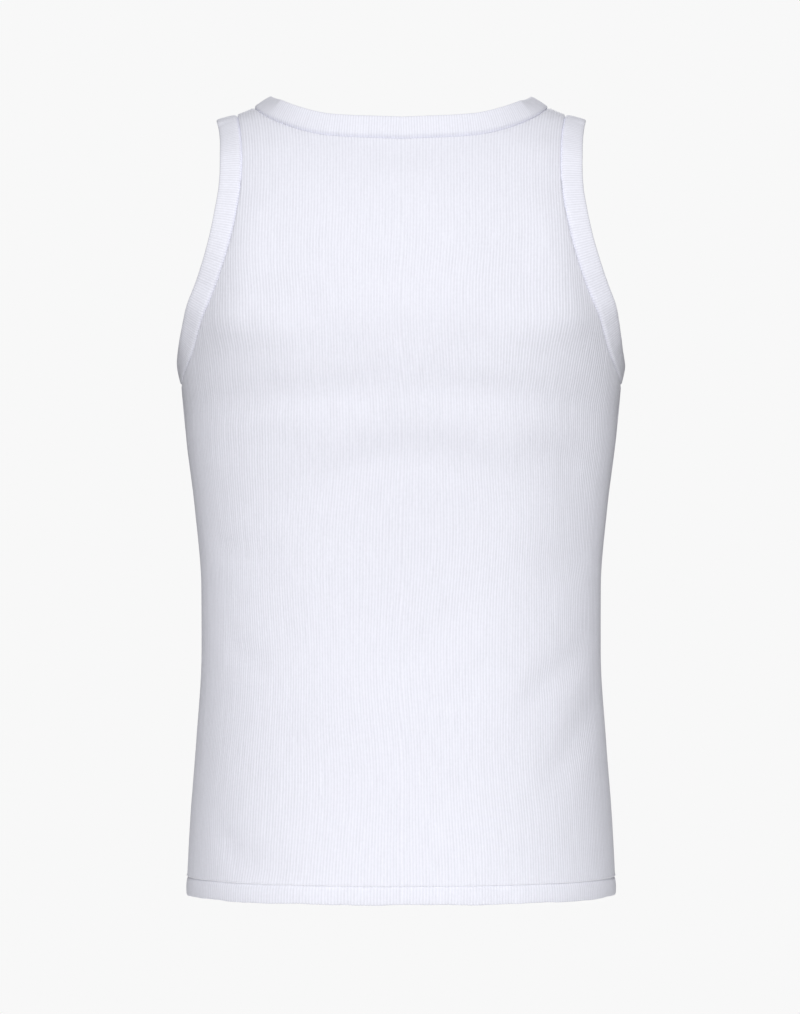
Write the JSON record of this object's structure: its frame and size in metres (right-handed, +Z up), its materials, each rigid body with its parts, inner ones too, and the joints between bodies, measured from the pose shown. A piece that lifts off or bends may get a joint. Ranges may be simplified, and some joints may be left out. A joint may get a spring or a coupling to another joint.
{
  "type": "tank top",
  "caption": "Sleeveless rib-knit tank top, hollow and filled out as when it is worn, with a wide neck and folded bands.",
  "frame": {"origin": "midway between the places where the two straps rest on the wearer's shoulders", "axes": "+Z up, +Y to the wearer's front, +X to the wearer's right"},
  "size_m": [0.3824, 0.2417, 0.6801],
  "materials": {
    "rib_knit": "matt white cotton rib knit",
    "band_knit": "matt white cotton rib knit, folded"
  },
  "bodies": {
    "root": {"back": "rib_knit", "front": "rib_knit", "neck_band": "band_knit", "armhole_band_left": "band_knit", "armhole_band_right": "band_knit"}
  },
  "joints": []
}
